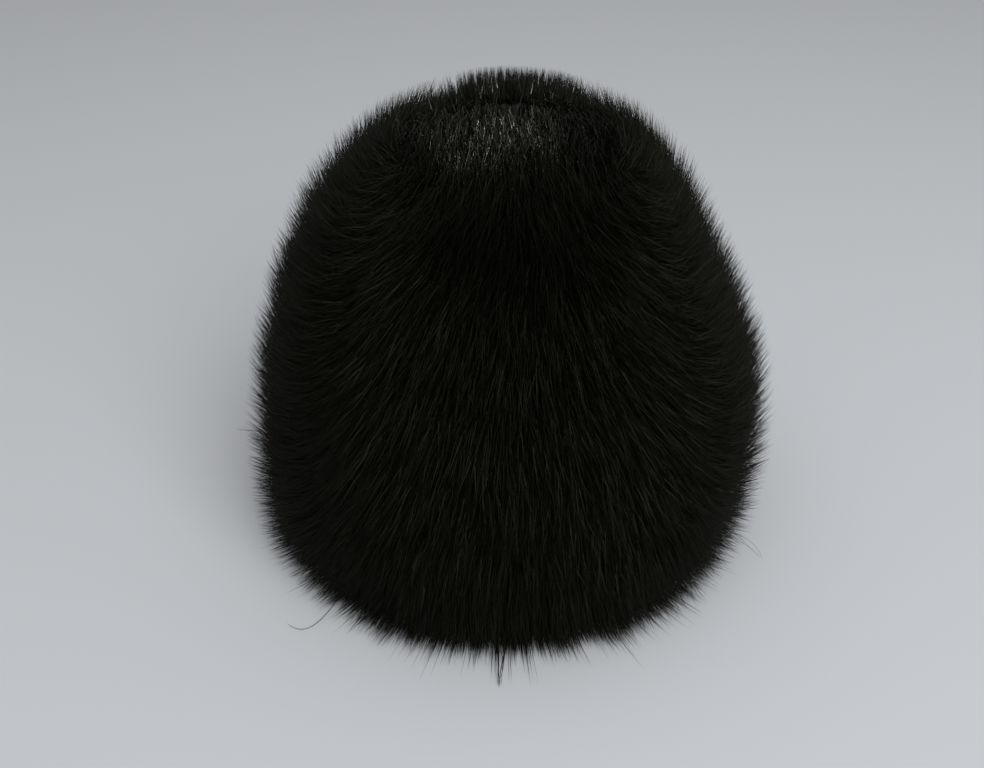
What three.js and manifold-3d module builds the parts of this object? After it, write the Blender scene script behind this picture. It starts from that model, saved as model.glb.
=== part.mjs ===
// A tall round fur hat, sewn from four pelt panels that meet at the crown.
// Millimetres, +Z up, front at -Y, right at +X as seen from the front. The origin is the middle of the rim,
// on the surface that the hat rests on.
import * as THREE from "three";
import { mergeVertices } from "three/addons/utils/BufferGeometryUtils.js";
import Module from "manifold-3d";

const wasm = await Module();
wasm.setup();

// Driving dimensions
const hideThickness = 2;
const underfurDepth = 14; // dense wool on the hide, which holds its form as a wall does
const lockRise = 8; // from the underfur to the tips of the guard hair
const seamGap = 0.6; // between two panels, where their hides are sewn edge to edge
const lockLength = 46;
const lockWidth = 28;
const lockSink = 4; // a lock's root sits this deep in the underfur
const lockPitch = 30; // from lock to lock round the hat
const rowPitch = 26; // from row to row of locks, from the rim up to the crown
const ringSteps = 48; // facets round the hat
const narrowestRing = 14; // radius at the crown below which locks are spread no further
const rimReach = 60; // way up from the rim over which the hair turns from its rim nap to its panel's
const napSway = 12; // degrees that a lock strays from its panel's nap
const lengthSway = 0.15; // share by which a lock is longer or shorter
const prismReach = 200; // the cutting prism of a panel goes well past the fur

// The outline over the tips of the fur: an oval for each height, whose middle leans a little from the rim's.
const sections = [
  { height: 0, halfWidth: 112, halfLength: 123, shiftRight: -2 },
  { height: 16, halfWidth: 114, halfLength: 125, shiftRight: -1 },
  { height: 42, halfWidth: 114, halfLength: 125, shiftRight: 1 },
  { height: 72, halfWidth: 110, halfLength: 120, shiftRight: 1 },
  { height: 102, halfWidth: 101, halfLength: 111, shiftRight: -1 },
  { height: 128, halfWidth: 89, halfLength: 98, shiftRight: -3 },
  { height: 150, halfWidth: 78, halfLength: 86, shiftRight: -2 },
  { height: 168, halfWidth: 61, halfLength: 67, shiftRight: 0 },
  { height: 180, halfWidth: 37, halfLength: 41, shiftRight: 1 },
  { height: 188, halfWidth: 0, halfLength: 0, shiftRight: 1 },
];

// The panels: the middle direction and half angle of each, in degrees from +X towards the back, and its nap,
// the way its hair lies: 0 is straight down to the rim, 90 is round the hat with the angle, -90 against it.
// Near the rim the hair falls, and its nap there is rimNap.
const panels = [
  { name: "front_panel", middle: 270, halfAngle: 40, nap: 0, rimNap: 0 },
  { name: "right_panel", middle: 0, halfAngle: 50, nap: 100, rimNap: 50 },
  { name: "back_panel", middle: 90, halfAngle: 40, nap: 0, rimNap: 0 },
  { name: "left_panel", middle: 180, halfAngle: 50, nap: -100, rimNap: -50 },
];

// A lock of hair from root to tip, with the depths of its ridge, sides and keel under the fur's outline.
const lockStations = [
  { share: 0, width: 0.7, ridge: lockRise - 2, sides: lockRise + 1, keel: lockRise + lockSink },
  { share: 0.5, width: 1, ridge: 0.15 * lockRise, sides: 0.5 * lockRise, keel: lockRise + 1 },
  { share: 1, width: 0, ridge: 0, sides: 0, keel: 0 },
];

const furCoat = new THREE.MeshStandardMaterial({
  color: 0x12110e,
  roughness: 0.7,
  metalness: 0,
});

const wallDepth = lockRise + underfurDepth + hideThickness;
const middleRadius = (row) => (row.halfWidth + row.halfLength) / 2;

// Each section with its way along the meridian from the rim, and the outward direction of the skin there.
const meridian = sections.map((row, i) => {
  const below = sections[Math.max(i - 1, 0)];
  const above = sections[Math.min(i + 1, sections.length - 1)];
  const rise = above.height - below.height;
  const narrowing = middleRadius(below) - middleRadius(above);
  const outward = new THREE.Vector2(rise, narrowing).normalize();
  if (i === 0) outward.set(1, 0); // the rim is flat
  if (i === sections.length - 1) outward.set(0, 1); // the crown's middle is level
  return { ...row, outward, way: 0 };
});
for (let i = 1; i < meridian.length; i++) {
  const [low, high] = [meridian[i - 1], meridian[i]];
  const step = Math.hypot(high.height - low.height, middleRadius(high) - middleRadius(low));
  high.way = low.way + step;
}
const meridianLength = meridian.at(-1).way;

// The oval at some way up the meridian and some depth under the outline. Below the rim it runs straight on.
function ovalAt(way, depth) {
  const above = Math.max(1, meridian.findIndex((row) => row.way >= way));
  const [low, high] = [meridian[above - 1], meridian[above]];
  const share = (way - low.way) / (high.way - low.way);
  const inset = (row) => ({
    halfWidth: Math.max(row.halfWidth - depth * row.outward.x, 0),
    halfLength: Math.max(row.halfLength - depth * row.outward.x, 0),
    shiftRight: row.shiftRight,
    height: row.height - depth * row.outward.y,
  });
  const [from, to] = [inset(low), inset(high)];
  const mixed = (size) => THREE.MathUtils.lerp(from[size], to[size], share);
  return {
    halfWidth: mixed("halfWidth"),
    halfLength: mixed("halfLength"),
    shiftRight: mixed("shiftRight"),
    height: mixed("height"),
  };
}

function skinPoint(way, angle, depth) {
  const oval = ovalAt(Math.min(way, meridianLength), depth);
  const x = oval.shiftRight + oval.halfWidth * Math.cos(angle);
  const y = oval.halfLength * Math.sin(angle);
  return new THREE.Vector3(x, y, oval.height);
}

// A closed three.js geometry as a solid: shared corners are merged and faces with no width are dropped.
function solidFrom(geometry) {
  const bare = geometry.clone();
  bare.deleteAttribute("normal");
  bare.deleteAttribute("uv");
  const merged = mergeVertices(bare, 1e-3);
  const corners = merged.index.array;
  const triVerts = [];
  for (let i = 0; i < corners.length; i += 3) {
    const [a, b, c] = corners.slice(i, i + 3);
    if (a !== b && b !== c && c !== a) triVerts.push(a, b, c);
  }
  return new wasm.Manifold(
    new wasm.Mesh({
      numProp: 3,
      vertProperties: merged.attributes.position.array,
      triVerts: new Uint32Array(triVerts),
    }),
  );
}

function geometryFrom(solid) {
  const { vertProperties, triVerts } = solid.getMesh();
  const geometry = new THREE.BufferGeometry();
  geometry.setAttribute("position", new THREE.BufferAttribute(vertProperties, 3));
  geometry.setIndex(new THREE.BufferAttribute(triVerts, 1));
  geometry.computeVertexNormals();
  return geometry;
}

// The hollow dome of hide and underfur: a lathe of its wall, whose corners are then set on the oval skin.
function domeWall() {
  const outside = meridian.map((row) => ({ way: row.way, depth: lockRise }));
  const inside = meridian.map((row) => ({ way: row.way, depth: wallDepth })).reverse();
  const corners = [...outside, ...inside, outside[0]];
  const outline = corners.map(({ way, depth }) => {
    const oval = ovalAt(way, depth);
    return new THREE.Vector2(middleRadius(oval), oval.height);
  });
  const lathe = new THREE.LatheGeometry(outline, ringSteps);
  const position = lathe.attributes.position;
  for (let i = 0; i < position.count; i++) {
    const { way, depth } = corners[i % corners.length];
    const turn = Math.floor(i / corners.length) % ringSteps;
    const point = skinPoint(way, (turn / ringSteps) * 2 * Math.PI, depth);
    position.setXYZ(i, point.x, point.y, point.z);
  }
  return solidFrom(lathe);
}

// One lock of hair: a four-sided cone bent over the skin, from its root towards the panel's nap.
function lockOfHair(way, angle, nap, sway) {
  const stations = lockStations.length - 1;
  const cone = new THREE.ConeGeometry(1, 1, 4, stations);
  const radius = Math.max(middleRadius(ovalAt(way, 0)), narrowestRing);
  const turn = THREE.MathUtils.degToRad(nap + napSway * sway.nap);
  const length = lockLength * (1 + lengthSway * sway.length);
  const position = cone.attributes.position;
  for (let i = 0; i < position.count; i++) {
    const station = lockStations[Math.round((position.getY(i) + 0.5) * stations)];
    const forth = station.share * length;
    const aside = (-Math.sign(Math.round(position.getX(i) * 9)) * station.width * lockWidth) / 2;
    const lift = Math.sign(Math.round(position.getZ(i) * 9));
    const depth = lift > 0 ? station.ridge : lift < 0 ? station.keel : station.sides;
    const up = -Math.cos(turn) * forth + Math.sin(turn) * aside;
    const round = Math.sin(turn) * forth + Math.cos(turn) * aside;
    const point = skinPoint(way + up, angle + round / radius, depth);
    position.setXYZ(i, point.x, point.y, point.z);
  }
  return solidFrom(cone);
}

// The space of one panel: an upright prism between its two seams, half a gap inside each.
function panelSpace({ middle, halfAngle }) {
  const half = THREE.MathUtils.degToRad(halfAngle);
  const direction = THREE.MathUtils.degToRad(middle);
  const tip = seamGap / 2 / Math.sin(half);
  const side = prismReach / Math.cos(half / 2);
  const outline = new THREE.Shape();
  outline.moveTo(tip, 0);
  outline.lineTo(tip + prismReach * Math.cos(half), -prismReach * Math.sin(half));
  outline.lineTo(tip + side, 0);
  outline.lineTo(tip + prismReach * Math.cos(half), prismReach * Math.sin(half));
  outline.closePath();
  const prism = new THREE.ExtrudeGeometry(outline, { depth: prismReach, bevelEnabled: false });
  prism.rotateZ(direction);
  return solidFrom(prism);
}

// Rows of locks over one panel, set off by half a lock from row to row. Where the hair lies round the hat,
// each row starts just before the seam that it comes from.
function locksOf({ middle, halfAngle, nap, rimNap }) {
  const locks = [];
  const rows = Math.floor(meridianLength / rowPitch);
  for (let row = 0; row < rows; row++) {
    const way = (row + 0.5) * rowPitch;
    const rowNap = THREE.MathUtils.lerp(rimNap, nap, Math.min(way / rimReach, 1));
    const radius = middleRadius(ovalAt(way, 0));
    const arc = 2 * THREE.MathUtils.degToRad(halfAngle) * radius;
    const count = Math.max(1, Math.round(arc / lockPitch));
    for (let i = 0; i < count; i++) {
      const offset = (row % 2 ? 0.5 : 0) + (nap === 0 ? 0.25 : -0.1);
      const share = (i + offset) / count;
      const degrees = middle + (2 * share - 1) * halfAngle * (nap < 0 ? -1 : 1);
      const sway = { nap: Math.sin(7 * row + 5 * i), length: Math.cos(3 * row + 11 * i) };
      locks.push(lockOfHair(way, THREE.MathUtils.degToRad(degrees), rowNap, sway));
    }
  }
  return locks;
}

const hat = new THREE.Group();
const wall = domeWall();
for (const panel of panels) {
  let pelt = wall;
  for (const lock of locksOf(panel)) pelt = pelt.add(lock);
  pelt = pelt.intersect(panelSpace(panel));
  const mesh = new THREE.Mesh(geometryFrom(pelt), furCoat);
  mesh.name = panel.name;
  hat.add(mesh);
}

export default hat;
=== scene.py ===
import math

import bpy
import numpy as np
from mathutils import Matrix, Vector


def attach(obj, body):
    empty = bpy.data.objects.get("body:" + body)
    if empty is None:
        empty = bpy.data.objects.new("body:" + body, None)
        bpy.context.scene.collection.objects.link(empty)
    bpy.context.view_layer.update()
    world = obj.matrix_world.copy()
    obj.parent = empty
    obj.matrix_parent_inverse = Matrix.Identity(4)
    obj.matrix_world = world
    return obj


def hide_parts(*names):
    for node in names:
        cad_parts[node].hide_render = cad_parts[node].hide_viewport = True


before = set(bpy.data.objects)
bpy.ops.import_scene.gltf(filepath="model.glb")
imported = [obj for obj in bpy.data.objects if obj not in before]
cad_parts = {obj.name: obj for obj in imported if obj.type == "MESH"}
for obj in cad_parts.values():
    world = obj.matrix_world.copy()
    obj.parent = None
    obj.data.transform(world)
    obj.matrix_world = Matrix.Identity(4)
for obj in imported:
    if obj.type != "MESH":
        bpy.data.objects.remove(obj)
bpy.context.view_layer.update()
print("panels loaded:", sorted(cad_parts))

mm = 0.001
draw = np.random.default_rng(41)

# The form over the tips of the dense fur: an oval for each height, in mm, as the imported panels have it
form = {
    "height": [0, 16, 42, 72, 102, 128, 150, 168, 180, 188],
    "halfWidth": [112, 114, 114, 110, 101, 89, 78, 61, 37, 0],
    "halfLength": [123, 125, 125, 120, 111, 98, 86, 67, 41, 0],
    "shiftRight": [-2, -1, 1, 1, -1, -3, -2, 0, 1, 1],
    "widthShare": 0.95,  # half width and half length, as shares of their mean
    "lengthShare": 1.05,
    "rounding": 20,  # stretch of the meridian over which the table's corners are rounded
    "step": 0.5,
    "crownDensity": 0.9,  # share by which the hair grows denser from crownFrom of the meridian to the crown
    "crownFrom": 0.68,
}


def toLinear(hexColour):
    # sRGB hex to the linear colour that a socket takes
    parts = np.array([int(hexColour[i:i + 2], 16) for i in (1, 3, 5)]) / 255
    linear = np.where(parts <= 0.04045, parts / 12.92, ((parts + 0.055) / 1.055) ** 2.4)
    return (*linear.tolist(), 1.0)


def unit(vectors):
    return vectors / np.maximum(np.linalg.norm(vectors, axis=-1, keepdims=True), 1e-9)


def blend(first, second, share):
    return first + (second - first) * share


def easeIn(distance, reach):
    # Smooth step from 0 at no distance to 1 at the reach
    share = np.clip(distance / reach, 0, 1)
    return share * share * (3 - 2 * share)


def roundedMeridian():
    # Way from the rim to the crown over the table's rows, sampled finely; each column is then averaged over a
    # window. Past the crown a radius goes on with its sign turned and a height comes back, so that the crown
    # is round.
    columns = ("height", "halfWidth", "halfLength", "shiftRight")
    table = {name: np.array(form[name], float) for name in columns}
    radius = (table["halfWidth"] + table["halfLength"]) / 2
    stretch = np.hypot(np.diff(table["height"]), np.diff(radius))
    way = np.concatenate([[0], np.cumsum(stretch)])
    fine = np.arange(0, way[-1], form["step"])
    half = int(form["rounding"] / form["step"] / 2)
    window = np.ones(2 * half + 1) / (2 * half + 1)
    curve = {"way": fine}
    for name, column in table.items():
        turned = "odd" if name.startswith("half") else "even"
        padded = np.pad(np.interp(fine, way, column), (half, 0), "reflect", reflect_type="odd")
        padded = np.pad(padded, (0, half), "reflect", reflect_type=turned)
        curve[name] = np.convolve(padded, window, "valid")
    rise = np.gradient(curve["height"])
    narrowing = -np.gradient((curve["halfWidth"] + curve["halfLength"]) / 2)
    curve["outFlat"] = rise / np.hypot(rise, narrowing)
    curve["outUp"] = narrowing / np.hypot(rise, narrowing)
    curve["radius"] = (curve["halfWidth"] + curve["halfLength"]) / 2
    crownShare = np.clip((fine / fine[-1] - form["crownFrom"]) / (1 - form["crownFrom"]), 0, 1)
    ring = curve["radius"] * (1 + form["crownDensity"] * np.sqrt(crownShare))
    curve["area"] = np.concatenate([[0], np.cumsum(ring)[1:]]) / np.sum(ring)
    return curve


meridian = roundedMeridian()


def along(name, way):
    return np.interp(way, meridian["way"], meridian[name])


def skinPoint(way, angle, depth):
    # Point of the oval at that way up the meridian, at the angle from +X, depth mm inside the outline
    inset = depth * along("outFlat", way)
    x = along("shiftRight", way) + (along("halfWidth", way) - inset) * np.cos(angle)
    y = (along("halfLength", way) - inset) * np.sin(angle)
    z = along("height", way) - depth * along("outUp", way)
    return np.stack(np.broadcast_arrays(x, y, z), -1)


def skinAxes(way, angle):
    # Unit vectors on the skin: outwards, round the hat with the angle, and up towards the crown
    flatX = np.cos(angle) / form["widthShare"]
    flatY = np.sin(angle) / form["lengthShare"]
    flatOut = unit(np.stack([flatX, flatY, 0 * angle], -1))
    steep = along("outFlat", way)[:, None]
    out = flatOut * steep + np.array([0, 0, 1]) * along("outUp", way)[:, None]
    around = np.stack([-flatOut[:, 1], flatOut[:, 0], 0 * angle], -1)
    return out, around, np.cross(out, around)


def addMesh(name, points, corners, sizes, smooth):
    # One mesh from arrays: points in mm, and the corners of all faces in a row with the size of each face
    mesh = bpy.data.meshes.new(name)
    mesh.vertices.add(len(points))
    mesh.vertices.foreach_set("co", (points * mm).astype(np.float32).ravel())
    mesh.loops.add(len(corners))
    mesh.loops.foreach_set("vertex_index", corners.astype(np.int32))
    mesh.polygons.add(len(sizes))
    starts = np.concatenate([[0], np.cumsum(sizes)[:-1]])
    mesh.polygons.foreach_set("loop_start", starts.astype(np.int32))
    mesh.polygons.foreach_set("use_smooth", np.full(len(sizes), smooth))
    mesh.update(calc_edges=True)
    mesh.validate()
    piece = bpy.data.objects.new(name, mesh)
    bpy.context.scene.collection.objects.link(piece)
    return piece


def addNode(tree, kind, settings=None, inputs=None):
    # One node: settings are its properties, inputs its sockets, each a value or another node's output
    node = tree.nodes.new(kind)
    for key, value in (settings or {}).items():
        setattr(node, key, value)
    for key, value in (inputs or {}).items():
        if isinstance(value, bpy.types.NodeSocket):
            tree.links.new(value, node.inputs[key])
        else:
            node.inputs[key].default_value = value
    return node


def newMaterial(name):
    material = bpy.data.materials.new(name)
    material.use_nodes = True
    material.node_tree.nodes.clear()
    return material, material.node_tree


def mixColours(tree, factor, first, second):
    colours = {"Factor": factor, "A": toLinear(first), "B": toLinear(second)}
    return addNode(tree, "ShaderNodeMix", {"data_type": "RGBA"}, colours).outputs["Result"]


def speckle(tree, size, detail):
    # Noise with grains of that size in mm, in the piece's own space
    place = addNode(tree, "ShaderNodeTexCoord")
    inputs = {"Vector": place.outputs["Object"], "Scale": 1 / (size * mm), "Detail": detail}
    return addNode(tree, "ShaderNodeTexNoise", inputs=inputs).outputs["Fac"]


def finishMaterial(tree, inputs):
    shader = addNode(tree, "ShaderNodeBsdfPrincipled", inputs=inputs)
    addNode(tree, "ShaderNodeOutputMaterial", inputs={"Surface": shader.outputs["BSDF"]})


# Guard hair, dyed black and combed: near-black with a little warmth at some tips, and a soft gloss along
# each strand
guardFinish = {
    "dark": "#090a05", "warm": "#101009",
    "roughness": 0.42, "gloss": 0.12, "glossTint": "#f2f2e2",
}


def guardHairMaterial():
    material, tree = newMaterial("fur guard hair, dyed and combed")
    strand = addNode(tree, "ShaderNodeUVMap", {"uv_map": "strand"})
    place = addNode(tree, "ShaderNodeSeparateXYZ", inputs={"Vector": strand.outputs["UV"]})
    ownToneAndWay = {0: place.outputs["X"], 1: place.outputs["Y"]}
    warmth = addNode(tree, "ShaderNodeMath", {"operation": "MULTIPLY"}, ownToneAndWay)
    finishMaterial(tree, {
        "Base Color": mixColours(tree, warmth.outputs[0], guardFinish["dark"], guardFinish["warm"]),
        "Roughness": guardFinish["roughness"],
        "Specular IOR Level": guardFinish["gloss"],
        "Specular Tint": toLinear(guardFinish["glossTint"]),
    })
    return material


# Underfur, felted wool under the guard hair: flat black, with no gloss. Its colour is darker than the guard
# hair's: the wool's own black with painted shade, which stands in for the shade deep in the dense fur.
underFinishAndShade = {
    "dark": "#020202", "light": "#060605", "tuft": 3.0, "tuftDetail": 2.0,
    "roughness": 0.95, "gloss": 0.04,
}


def underfurMaterial():
    material, tree = newMaterial("underfur, felted wool with painted shade")
    tufts = speckle(tree, underFinishAndShade["tuft"], underFinishAndShade["tuftDetail"])
    finishMaterial(tree, {
        "Base Color": mixColours(tree, tufts, underFinishAndShade["dark"], underFinishAndShade["light"]),
        "Roughness": underFinishAndShade["roughness"],
        "Specular IOR Level": underFinishAndShade["gloss"],
    })
    return material


# Hide, tanned and dyed through: a napped suede, dull and slightly mottled
hideFinish = {
    "dark": "#1f1a16", "light": "#2f2822", "mottle": 14.0, "mottleDetail": 5.0,
    "nap": 0.7, "napDetail": 2.0, "napHeight": 0.15, "napStrength": 0.6,
    "roughness": 0.88, "gloss": 0.25,
}


def hideMaterial():
    material, tree = newMaterial("pelt hide, napped suede")
    mottle = speckle(tree, hideFinish["mottle"], hideFinish["mottleDetail"])
    bump = addNode(tree, "ShaderNodeBump", inputs={
        "Height": speckle(tree, hideFinish["nap"], hideFinish["napDetail"]),
        "Distance": hideFinish["napHeight"] * mm,
        "Strength": hideFinish["napStrength"],
    })
    finishMaterial(tree, {
        "Base Color": mixColours(tree, mottle, hideFinish["dark"], hideFinish["light"]),
        "Normal": bump.outputs["Normal"],
        "Roughness": hideFinish["roughness"],
        "Specular IOR Level": hideFinish["gloss"],
    })
    return material


guardHair = guardHairMaterial()
underfur = underfurMaterial()
hide = hideMaterial()
print("materials ready")


# The crown, where the hair parts along a line from side to side: before it the hair lies flat to the front
# on a thicker felt, and behind it stands up
crown = {
    "from": (0.68, 0.9),  # shares of the meridian between which the panels' nap gives way to the crown's
    "parting": 4.0,  # mm along Y from the crown's middle
    "soft": 12.0,  # mm over which the lean changes at the parting
    "mix": 4.5,  # mm by which single hairs part elsewhere
    "frontLean": 101.0,  # past 90 the tip points back to the skin, as combed hair arches
    "frontBend": 34.0,
    "frontLength": 1.2,
    "frontGather": 0.25,
    "backLean": 14.0,
    "backLength": 0.92,
    "backRagged": 0.2,  # share by which its tufts differ in length
    "backGather": 0.92,
    "backLoose": 0.35,  # share by which its loose hairs are longer
    "sideLength": 0.3,  # takes the place of backLength over sideReach from the highest tuft
    "sideReach": (8.0, 40.0),
    "tuftAt": 4.0,  # mm along X
    "fill": 7.0,  # mm by which the felt is thicker before the parting
}


def crownPlace(way, angle, moved):
    # How far a place belongs to the crown, and how far it lies before the parting, moved to the back, each
    # from 0 to 1
    low, high = crown["from"]
    atCrown = easeIn(way / meridian["way"][-1] - low, high - low)
    y = skinPoint(way, angle, 0)[..., 1] - moved
    return atCrown, easeIn(crown["parting"] + crown["soft"] / 2 - y, crown["soft"])


# The pelt under the hair: hide inside, felted underfur outside, cut at the seams
pelt = {
    "outerDepth": 10.5,  # face of the felted underfur, under the tips of the fur
    "innerDepth": 24.0,  # inner face of the hide
    "seamGap": 0.6,
    "crownHole": 1.2,  # radius left at the crown where the four points are gathered
    "rows": 60,
    "columns": 40,
    "lumpHeight": 0.9,
    "lumpSize": 11.0,
    "lumpUp": 2.1,  # turns of the lumps' waves in radians for each lumpSize, up the pelt and round it
    "lumpRound": 1.7,
    "lumpReach": 20.0,  # way up from the flat rim over which the lumps begin
}


def peltShell(panel):
    # Two grids over the panel, outside and inside, each with a row for every way up and a column for every
    # angle; a band of faces along the border joins them. Beside a seam the angle is cut back by half the gap.
    rows, columns = pelt["rows"], pelt["columns"]
    top = np.interp(pelt["crownHole"], meridian["radius"][::-1], meridian["way"][::-1])
    way = np.linspace(0, top, rows)[:, None]
    share = np.linspace(-1, 1, columns)[None, :]
    sheets = []
    for depth in (pelt["outerDepth"], pelt["innerDepth"]):
        radius = np.maximum(along("radius", way) - depth * along("outFlat", way), pelt["crownHole"])
        cut = np.arcsin(np.clip(pelt["seamGap"] / 2 / radius, 0, 0.5))
        angle = math.radians(panel["middle"]) + share * (math.radians(panel["halfAngle"]) - cut)
        wide = way + 0 * share
        if depth == pelt["outerDepth"]:
            upWave = np.sin(wide / pelt["lumpSize"] * pelt["lumpUp"])
            roundWave = np.sin(angle * along("radius", wide) / pelt["lumpSize"] * pelt["lumpRound"])
            lump = pelt["lumpHeight"] * (upWave * roundWave) * np.clip(way / pelt["lumpReach"], 0, 1)
            atCrown, ahead = crownPlace(wide, angle, crown["mix"])
            depth = depth + lump - crown["fill"] * atCrown * ahead
        sheet = skinPoint(wide, angle, depth)
        sheet[0, :, 2] = 0
        sheets.append(sheet.reshape(-1, 3))
    index = np.arange(rows * columns).reshape(rows, columns)
    low, high = index[:-1], index[1:]
    quads = np.stack([low[:, :-1], low[:, 1:], high[:, 1:], high[:, :-1]], -1).reshape(-1, 4)
    inner = quads[:, ::-1] + rows * columns
    border = np.concatenate([index[0], index[1:, -1], index[-1, -2::-1], index[-2:0:-1, 0]])
    after = np.roll(border, -1)
    band = np.stack([after, border, border + rows * columns, after + rows * columns], -1)
    faces = np.concatenate([quads, inner, band])
    name = panel["node"].replace("panel", "pelt")
    shell = addMesh(name, np.concatenate(sheets), faces.ravel(), np.full(len(faces), 4), True)
    shell.data.materials.append(underfur)
    shell.data.materials.append(hide)
    slots = np.zeros(len(faces), np.int32)
    slots[len(quads):2 * len(quads)] = 1
    shell.data.polygons.foreach_set("material_index", slots)
    return shell


# How the hair grows and is combed: lengths, widths and ways in mm, leans and turns in degrees
guard = {
    "rootDepth": 13.0,
    "length": 24.0,
    "lengthSpread": 0.16,
    "lengthEnds": (-2.0, 1.3),  # most that a hair is shorter or longer, in spreads
    "bend": 24.0,  # by which a hair leans further beyond its bend
    "leanSpread": 6.0,
    "flattest": 106.0,
    "looseShare": 0.14,  # hairs that escaped the comb: longer and more upright
    "looseLength": 1.12,
    "looseLean": -14.0,
    "tallest": 7.0,  # that a loose hair may stand over the fur's outline
    "swirl": 8.0,  # that the comb's way wanders over the pelt
    "stray": 8.0,  # that a single hair strays
    "wisp": 3.2,  # between wisps, whose tips draw together
    "gather": 0.8,
    "gatherSpread": 0.25,
    "bendGather": 0.3,  # share of it at the bend
    "looseGather": 0.6,
    "looseWidth": 1.35,
    "tuft": 13.0,  # between tufts, each with a lean, way and length of its own
    "tuftLean": 5.0,
    "tuftStray": 9.0,
    "tuftLength": 0.1,
    "rootWidth": 0.3,
    "bendWidth": 0.25,
    "rimReach": 60.0,  # way up from the rim over which the hair turns from its rim nap
    "seamReach": (46.0, 12.0),  # way over which it turns from its seam nap, at the rim and at the crown
    "seamDip": 8.0,  # by which the hair lies flatter along a seam, within seamWidth of it
    "seamWidth": 5.0,
    "seamDipFrom": (0.3, 0.6),  # shares of the meridian between which the dip begins
}
fuzz = {
    "rootDepth": 14.0,
    "length": 13.0,
    "lengthSpread": 0.2,
    "lengthEnds": (-2.0, 1.5),
    "lean": 46.0,
    "crownLean": 86.0,  # before the parting
    "leanSpread": 14.0,
    "stray": 20.0,
    "width": 0.9,
    "tone": 0.4,  # of the warmest guard hair's
}
widthSpread = (0.7, 1.2)
roots = {
    "goldenShare": 0.6180339887,
    "angleJitter": 0.004, "angleEnds": (0.001, 0.999),
    "areaJitter": 0.002, "areaEnds": (0.0005, 0.9985),
}
# Slow waves of the comb's way: mm for each radian across, back and up, and a weave of the first with height
waves = {"across": 21, "weave": 33, "weaveTurn": 1.7, "back": 27, "up": 19}
tuftGrid = {"cells": 64, "jitter": 0.4, "narrowestRing": 4}
# Hair that reaches the floor ends on it: the least and most height of its end, and the least and most share
# of the hair below that slides outwards
floorRest = (0.4, 4.0)
floorSlide = (0.35, 0.95)


def spreadRoots(panel, count):
    # Even spread by area: a golden-ratio lattice over the panel's angle and its share of the skin's area,
    # then jittered
    order = np.arange(count)
    share = (order * roots["goldenShare"] + draw.uniform(0, 1)) % 1
    share = np.clip(share + draw.normal(0, roots["angleJitter"], count), *roots["angleEnds"])
    area = np.clip((order + 0.5) / count + draw.normal(0, roots["areaJitter"], count), *roots["areaEnds"])
    way = np.interp(area, meridian["area"], meridian["way"])
    angle = math.radians(panel["middle"]) + (2 * share - 1) * math.radians(panel["halfAngle"])
    return way, angle


def combed(panel, way, angle, moved):
    # Way the hair lies on the skin: the panel's nap, turned near the rim and the seams, with slow waves over
    # the pelt. On the side panels the seam nap holds beside the front seam, and on the others it grows to
    # either side.
    share = (angle - math.radians(panel["middle"])) / math.radians(panel["halfAngle"])
    nap = blend(panel["rimNap"], panel["nap"], easeIn(way, guard["rimReach"]))
    if panel["nap"] == 0:
        nap = nap + panel["seamNap"] * share ** 3
    else:
        halfArc = math.radians(panel["halfAngle"]) * along("radius", way)
        fromSeam = (1 + share * np.sign(panel["nap"])) * halfArc
        atRim, atTop = guard["seamReach"]
        reach = blend(atRim, atTop, way / meridian["way"][-1])
        nap = blend(panel["seamNap"], nap, easeIn(fromSeam, reach))
    x, y, z = skinPoint(way, angle, 0).T
    wave = np.sin(x / waves["across"] + waves["weaveTurn"] * np.sin(z / waves["weave"]))
    wave = wave + np.sin(y / waves["back"] + z / waves["up"])
    turn = np.radians(nap + guard["swirl"] * wave / 2)
    out, around, up = skinAxes(way, angle)
    lie = around * np.sin(turn)[:, None] - up * np.cos(turn)[:, None]
    atCrown, ahead = crownPlace(way, angle, moved)
    straight = np.where(ahead > 0.5, -1, 1)[:, None] * np.array([0, 1, 0])
    straight = unit(straight - out * np.sum(out * straight, -1, keepdims=True))
    lie = unit(lie * (1 - atCrown[:, None]) + straight * atCrown[:, None])
    return out, lie, np.cross(out, lie)


def hairLine(panel, way, angle, moved, rootDepth, lengths, leans, strays):
    # Root, bend and tip of each hair: an equal part of its length at each lean, turned aside by its stray
    out, lie, aside = combed(panel, way, angle, moved)
    heading = lie * np.cos(strays)[:, None] + aside * np.sin(strays)[:, None]
    points = [skinPoint(way, angle, rootDepth)]
    for lean in leans:
        step = out * np.cos(lean)[:, None] + heading * np.sin(lean)[:, None]
        points.append(points[-1] + step * (lengths / len(leans))[:, None])
    return points


def nearestTuft(panel, way, angle, pitch):
    # Middle of the nearest tuft on a jittered grid of tufts over the panel, and three numbers of its own from
    # -1 to 1
    cells = tuftGrid["cells"]
    middle = math.radians(panel["middle"])
    spot = np.stack([way, (angle - middle) * along("radius", way)], -1) / pitch
    own = np.random.default_rng(panel["middle"] + round(10 * pitch)).uniform(-1, 1, (cells, cells, 5))
    best = np.full(len(way), np.inf)
    centre = spot.copy()
    mood = np.zeros((len(way), 3))
    for step in np.ndindex(3, 3):
        cell = np.floor(spot).astype(int) + np.array(step) - 1
        number = own[cell[:, 0] % cells, cell[:, 1] % cells]
        trial = cell + 0.5 + tuftGrid["jitter"] * number[:, :2]
        distance = np.linalg.norm(trial - spot, axis=1)
        nearer = distance < best
        best = np.where(nearer, distance, best)
        centre[nearer] = trial[nearer]
        mood[nearer] = number[nearer, 2:]
    tuftWay = np.clip(centre[:, 0] * pitch, 0, meridian["way"][-1])
    ring = np.maximum(along("radius", tuftWay), tuftGrid["narrowestRing"])
    tuftAngle = middle + centre[:, 1] * pitch / ring
    return tuftWay, tuftAngle, mood


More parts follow.
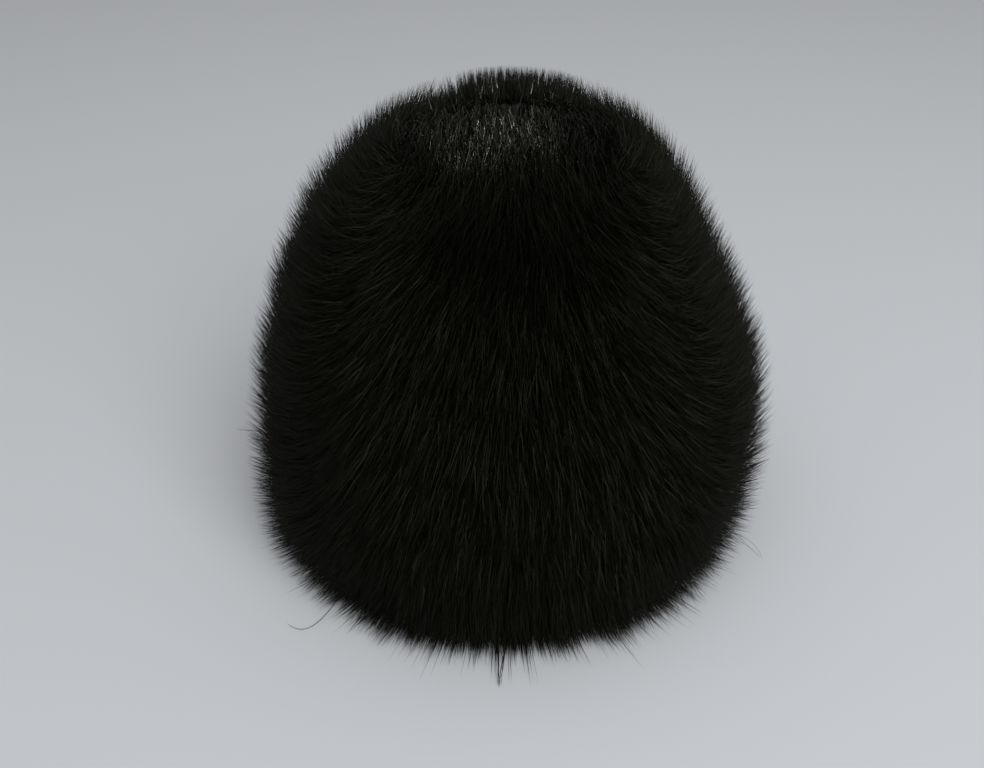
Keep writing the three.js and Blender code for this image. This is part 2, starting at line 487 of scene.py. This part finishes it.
def endOnFloor(lines, out):
    # A hair that would go under the floor ends where it meets it, and slides outwards by a share of what lay
    # below. Few hairs slide far or end high: their share is a cubed random number.
    count = len(out)
    flat = unit(out * np.array([1, 1, 0]))
    slide = blend(*floorSlide, draw.uniform(0, 1, count) ** 3)[:, None]
    rest = blend(*floorRest, draw.uniform(0, 1, count) ** 3)
    lines[0][:, 2] = np.maximum(lines[0][:, 2], floorRest[0])
    ended = [lines[0]]
    for points in lines[1:]:
        before = ended[-1]
        drop = np.maximum(before[:, 2] - points[:, 2], 1e-6)
        kept = np.where(points[:, 2] < rest, np.clip((before[:, 2] - rest) / drop, 0.05, 1), 1)[:, None]
        sunk = np.maximum(rest - points[:, 2], 0)[:, None]
        points = before + kept * (points - before) + slide * sunk * flat
        points[:, 2] = np.maximum(points[:, 2], np.minimum(rest, before[:, 2] + 1))
        ended.append(points)
    return ended


# Strand meshes: a direction that no hair lies along, to square the rings by, and the shares of the map's
# width that hold the strands' tones and the corners of one ring
ringAside = np.array([0.31, 0.17, 0.93])
toneRoom = 0.99
ringRoom = 0.004


def strandMesh(name, lines, widths, tones):
    # Each strand has a three-cornered ring at every point but the last, and ends in a point. Rings stand
    # square to it, twisted at random, and faces are flat, so that light glints along the strand. Its map has
    # the strand's own tone across and the way from root to tip along.
    count, rings = len(tones), len(lines) - 1
    twist = draw.uniform(0, 2 * math.pi, (count, 1))
    stations = []
    for i in range(rings):
        before = lines[max(i - 1, 0)]
        heading = unit(lines[i + 1] - before)
        side = unit(np.cross(heading, ringAside))
        over = np.cross(heading, side)
        for corner in range(3):
            turn = twist + 2 * math.pi * corner / 3
            stations.append(lines[i] + widths[i][:, None] / 2 * (side * np.cos(turn) + over * np.sin(turn)))
    stations.append(lines[-1])
    points = np.stack(stations, 1).reshape(-1, 3)
    faces = [(0, 2, 1)]
    for ring in range(rings - 1):
        for corner in range(3):
            a, b = 3 * ring + corner, 3 * ring + (corner + 1) % 3
            faces += [(a, b, b + 3), (a, b + 3, a + 3)]
    last = 3 * (rings - 1)
    faces += [(last + corner, last + (corner + 1) % 3, 3 * rings) for corner in range(3)]
    pattern = np.array(faces)
    perStrand = 3 * rings + 1
    corners = (np.arange(count)[:, None, None] * perStrand + pattern[None]).reshape(-1)
    piece = addMesh(name, points, corners, np.full(count * len(pattern), 3), False)
    acrossMap = np.array([(corner % 3) / 2 for corner in range(3 * rings)] + [0.5])
    alongMap = np.array([(corner // 3) / rings for corner in range(3 * rings)] + [1.0])
    u = (tones[:, None] * toneRoom + ringRoom * acrossMap[pattern.ravel()][None]).ravel()
    v = np.tile(alongMap[pattern.ravel()], count)
    flat = np.stack([u, v], -1).astype(np.float32).ravel()
    for mapName in ("strand", "OFBake"):
        piece.data.uv_layers.new(name=mapName).data.foreach_set("uv", flat)
    return piece


def guardLeans(panel, way, angle, loose, mood, atCrown, ahead):
    # Lean of each hair before and beyond its bend: the panel's or the crown's, flatter along a seam, with its
    # tuft's own lean and a random one
    share = np.abs(angle - math.radians(panel["middle"])) / math.radians(panel["halfAngle"])
    fromSeam = (1 - share) * math.radians(panel["halfAngle"]) * along("radius", way)
    low, high = guard["seamDipFrom"]
    upThere = easeIn(way / meridian["way"][-1] - low, high - low)
    lean = blend(panel["lean"], blend(crown["backLean"], crown["frontLean"], ahead), atCrown)
    lean = lean + guard["seamDip"] * np.exp(-(fromSeam / guard["seamWidth"]) ** 2) * upThere
    lean = lean + guard["tuftLean"] * mood[:, 0] + guard["leanSpread"] * draw.normal(0, 1, len(way))
    lean = np.minimum(lean + np.where(loose, guard["looseLean"], 0), guard["flattest"])
    bend = blend(guard["bend"], crown["frontBend"], atCrown * ahead)
    return [np.radians(lean - bend), np.radians(lean)]


def crownLengths(way, angle, loose, mood, atCrown, ahead):
    # Share of its length that a hair keeps at the crown. Behind the parting it is shorter towards the sides
    # and differs from tuft to tuft, and loose hairs there are longer.
    near, far = crown["sideReach"]
    fromTuft = np.abs(skinPoint(way, angle, 0)[:, 0] - crown["tuftAt"])
    back = blend(crown["backLength"], crown["sideLength"], easeIn(fromTuft - near, far - near))
    back = back * (1 + crown["backRagged"] * mood[:, 0])
    kept = 1 + (blend(back, crown["frontLength"], ahead) - 1) * atCrown
    return kept * np.where(loose, 1 + crown["backLoose"] * atCrown * (1 - ahead), 1)


def guardHairPiece(panel):
    # Hair by hair: root, length, leans and stray, then the tip is drawn towards its wisp's middle
    count = panel["guardHairs"]
    way, angle = spreadRoots(panel, count)
    mood = nearestTuft(panel, way, angle, guard["tuft"])[2]
    loose = draw.uniform(0, 1, count) < guard["looseShare"]
    longer = np.clip(draw.normal(0, 1, count), *guard["lengthEnds"])
    lengths = guard["length"] * (1 + guard["lengthSpread"] * longer)
    lengths *= np.where(loose, guard["looseLength"], 1) * (1 + guard["tuftLength"] * mood[:, 2])
    moved = crown["mix"] * draw.normal(0, 1, count)
    atCrown, ahead = crownPlace(way, angle, moved)
    leans = guardLeans(panel, way, angle, loose, mood, atCrown, ahead)
    lengths *= crownLengths(way, angle, loose, mood, atCrown, ahead)
    rootDepth = guard["rootDepth"] - crown["fill"] * atCrown * ahead
    rise = np.maximum(lengths / 2 * (np.cos(leans[0]) + np.cos(leans[1])), 1)
    lengths *= np.minimum(1, (rootDepth + guard["tallest"]) / rise)
    strays = np.radians(guard["tuftStray"] * mood[:, 1] + guard["stray"] * draw.normal(0, 1, count))
    lines = hairLine(panel, way, angle, moved, rootDepth, lengths, leans, strays)
    wispWay, wispAngle, wispMood = nearestTuft(panel, way, angle, guard["wisp"])
    wispLines = hairLine(panel, wispWay, wispAngle, moved, rootDepth, lengths, leans, strays)
    gather = guard["gather"] * (1 + guard["gatherSpread"] * wispMood[:, 0])
    gather = np.where(loose, guard["looseGather"], gather)
    gather = blend(gather, blend(crown["backGather"], crown["frontGather"], ahead), atCrown)[:, None]
    lines[1] += guard["bendGather"] * gather * (wispLines[1] - lines[1])
    lines[2] += gather * (wispLines[2] - lines[2])
    lines = endOnFloor(lines, skinAxes(way, angle)[0])
    thickness = draw.uniform(*widthSpread, count) * np.where(loose, guard["looseWidth"], 1)
    widths = [guard["rootWidth"] * thickness, guard["bendWidth"] * thickness]
    tones = draw.uniform(0, 1, count)
    return strandMesh(panel["node"].replace("panel", "guard_hair"), lines, widths, tones)


def fuzzPiece(panel):
    # Short straight wool between the guard hairs, which lies down before the parting
    count = panel["fuzzHairs"]
    way, angle = spreadRoots(panel, count)
    longer = np.clip(draw.normal(0, 1, count), *fuzz["lengthEnds"])
    lengths = fuzz["length"] * (1 + fuzz["lengthSpread"] * longer)
    atCrown, ahead = crownPlace(way, angle, 0)
    lean = fuzz["lean"] + fuzz["leanSpread"] * draw.normal(0, 1, count)
    leans = [np.radians(blend(lean, fuzz["crownLean"], atCrown * ahead))]
    strays = np.radians(fuzz["stray"]) * draw.normal(0, 1, count)
    rootDepth = fuzz["rootDepth"] - crown["fill"] * atCrown * ahead
    lines = hairLine(panel, way, angle, 0, rootDepth, lengths, leans, strays)
    lines = endOnFloor(lines, skinAxes(way, angle)[0])
    widths = [fuzz["width"] * draw.uniform(*widthSpread, count)]
    tones = fuzz["tone"] * draw.uniform(0, 1, count)
    return strandMesh(panel["node"].replace("panel", "underfur"), lines, widths, tones)


# The panels: middle direction and half angle in degrees from +X. The nap is 0 down to the rim and 90 round
# with the angle, and the lean is from upright.
frontFur = {
    "node": "front_panel", "middle": 270, "halfAngle": 40, "nap": 0, "rimNap": 0, "seamNap": 25,
    "lean": 70, "guardHairs": 19600, "fuzzHairs": 6000,
}
rightFur = {
    "node": "right_panel", "middle": 0, "halfAngle": 50, "nap": 112, "rimNap": 50, "seamNap": 25,
    "lean": 67, "guardHairs": 19800, "fuzzHairs": 7500,
}
backFur = {
    "node": "back_panel", "middle": 90, "halfAngle": 40, "nap": 0, "rimNap": 0, "seamNap": -30,
    "lean": 66, "guardHairs": 19600, "fuzzHairs": 6000,
}
leftFur = {
    "node": "left_panel", "middle": 180, "halfAngle": 50, "nap": -112, "rimNap": -50, "seamNap": -25,
    "lean": 67, "guardHairs": 19800, "fuzzHairs": 7500,
}

for panel in (frontFur, rightFur, backFur, leftFur):
    shell = peltShell(panel)
    hair = guardHairPiece(panel)
    wool = fuzzPiece(panel)
    hair.data.materials.append(guardHair)
    wool.data.materials.append(guardHair)
    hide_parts(panel["node"])
    for piece in (shell, hair, wool):
        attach(piece, "root")
    print(panel["node"], "dressed:", [len(piece.data.polygons) for piece in (shell, hair, wool)], "faces")

# Long hairs that have come out of the fur, in mm: each group goes from its root to its tip, drawn towards
# two pulls
strayGroups = {
    "curled hair at the rim, left": {
        "hairs": 1, "width": 0.42, "spread": 0.0,
        "root": (-64, -78, 7), "pull": (-74, -97, 0.6),
        "secondPull": (-80, -118, 0.6), "tip": (-92, -105, 0.6),
    },
    "tuft under the front": {
        "hairs": 7, "width": 0.36, "spread": 4.0,
        "root": (-3, -118, 6), "pull": (-3, -127, 5),
        "secondPull": (-4, -133, 2), "tip": (-4, -139, 1),
    },
    "hairs at the side, left": {
        "hairs": 2, "width": 0.24, "spread": 3.0,
        "root": (-100, -8, 25), "pull": (-112, -8, 28),
        "secondPull": (-120, -8, 29), "tip": (-127, -8, 29),
    },
    "hairs at the rim, right": {
        "hairs": 3, "width": 0.2, "spread": 6.0,
        "root": (92, -62, 14), "pull": (101, -67, 14),
        "secondPull": (106, -70, 11), "tip": (110, -73, 7),
    },
}
# Share of a group's spread at each place
strayScatter = {"root": 1.0, "pull": 0.8, "secondPull": 0.4, "tip": 0.2}
straySteps = 14
strayTaper = 0.6  # share of its width that a hair loses on the way to its tip


def strayHairs():
    # Cubic curve of each hair: root, pulls and tip weighted by (1-t)^3, 3t(1-t)^2, 3t^2(1-t) and t^3
    corners = []
    for name, scatter in strayScatter.items():
        rows = []
        for group in strayGroups.values():
            aside = scatter * group["spread"] * draw.uniform(-1, 1, (group["hairs"], 3))
            rows.append(np.array(group[name], float) + aside)
        corners.append(np.concatenate(rows))
    lines = []
    for t in np.linspace(0, 1, straySteps + 1):
        weights = ((1 - t) ** 3, 3 * t * (1 - t) ** 2, 3 * t ** 2 * (1 - t), t ** 3)
        points = sum(weight * corner for weight, corner in zip(weights, corners))
        points[:, 2] = np.maximum(points[:, 2], floorRest[0])
        lines.append(points)
    width = np.concatenate([np.full(group["hairs"], group["width"]) for group in strayGroups.values()])
    widths = [width * (1 - strayTaper * i / straySteps) for i in range(straySteps)]
    return strandMesh("stray_hairs", lines, widths, draw.uniform(0, 1, len(width)))


longHairs = strayHairs()
longHairs.data.materials.append(guardHair)
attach(longHairs, "root")
print("stray hairs:", len(longHairs.data.polygons), "faces")


# Floor, light and camera: the floor and the lights in metres and watts, the eye in mm and degrees
stage = {"floorColour": "#cdd0d4", "floorSize": 12.0, "roughness": 0.6}
lights = {
    "overhead": {"power": 5.0, "size": 1.6, "at": (0.0, 0.0, 1.5), "aim": (0.0, 0.0, 0.0)},
    "front": {"power": 22.5, "size": 1.4, "at": (0.55, -1.15, 1.35), "aim": (0.0, 0.0, 0.1)},
    "crown": {
        "power": 190.0, "size": 0.012, "cone": 4.0,
        "at": (-0.05, 0.42, 1.25), "aim": (-0.008, -0.005, 0.186),
    },
}
sky = {"colour": "#ffffff", "strength": 0.32}
eye = {
    "at": (-7.0, -447.0, 344.5), "pitchDown": 33.45,
    "focalPixels": 1150.0, "imageWidth": 984, "sensor": 36.0,
}


def floorMaterial():
    # White laminate board: even and matt, with a broad soft gloss
    material, tree = newMaterial("white laminate, matt")
    finishMaterial(tree, {"Base Color": toLinear(stage["floorColour"]), "Roughness": stage["roughness"]})
    return material


floorHalf = stage["floorSize"] / 2 / mm
floorPoints = floorHalf * np.array([[-1, -1, 0], [1, -1, 0], [1, 1, 0], [-1, 1, 0]], float)
floor = addMesh("floor", floorPoints, np.arange(4), np.array([4]), False)
floor.data.materials.append(floorMaterial())

for name, setting in lights.items():
    if "cone" in setting:
        bulb = bpy.data.lights.new(name + " snoot", "SPOT")
        bulb.spot_size = math.radians(setting["cone"])
        bulb.spot_blend = 1.0
        bulb.shadow_soft_size = setting["size"]
    else:
        bulb = bpy.data.lights.new(name + " softbox", "AREA")
        bulb.size = setting["size"]
    bulb.energy = setting["power"]
    lamp = bpy.data.objects.new(bulb.name, bulb)
    lamp.location = setting["at"]
    lamp.rotation_euler = (Vector(setting["aim"]) - lamp.location).to_track_quat("-Z", "Y").to_euler()
    bpy.context.scene.collection.objects.link(lamp)

world = bpy.data.worlds.new("studio")
world.use_nodes = True
background = world.node_tree.nodes["Background"]
background.inputs["Color"].default_value = toLinear(sky["colour"])
background.inputs["Strength"].default_value = sky["strength"]
bpy.context.scene.world = world
bpy.context.scene.view_settings.view_transform = "Standard"

camera = bpy.data.cameras.new("eye")
camera.sensor_width = eye["sensor"]
camera.lens = eye["focalPixels"] / eye["imageWidth"] * eye["sensor"]
cameraObject = bpy.data.objects.new("eye", camera)
cameraObject.location = [mm * value for value in eye["at"]]
cameraObject.rotation_euler = (math.radians(90 - eye["pitchDown"]), 0, 0)
bpy.context.scene.collection.objects.link(cameraObject)
bpy.context.scene.camera = cameraObject
print("stage, light and camera set")
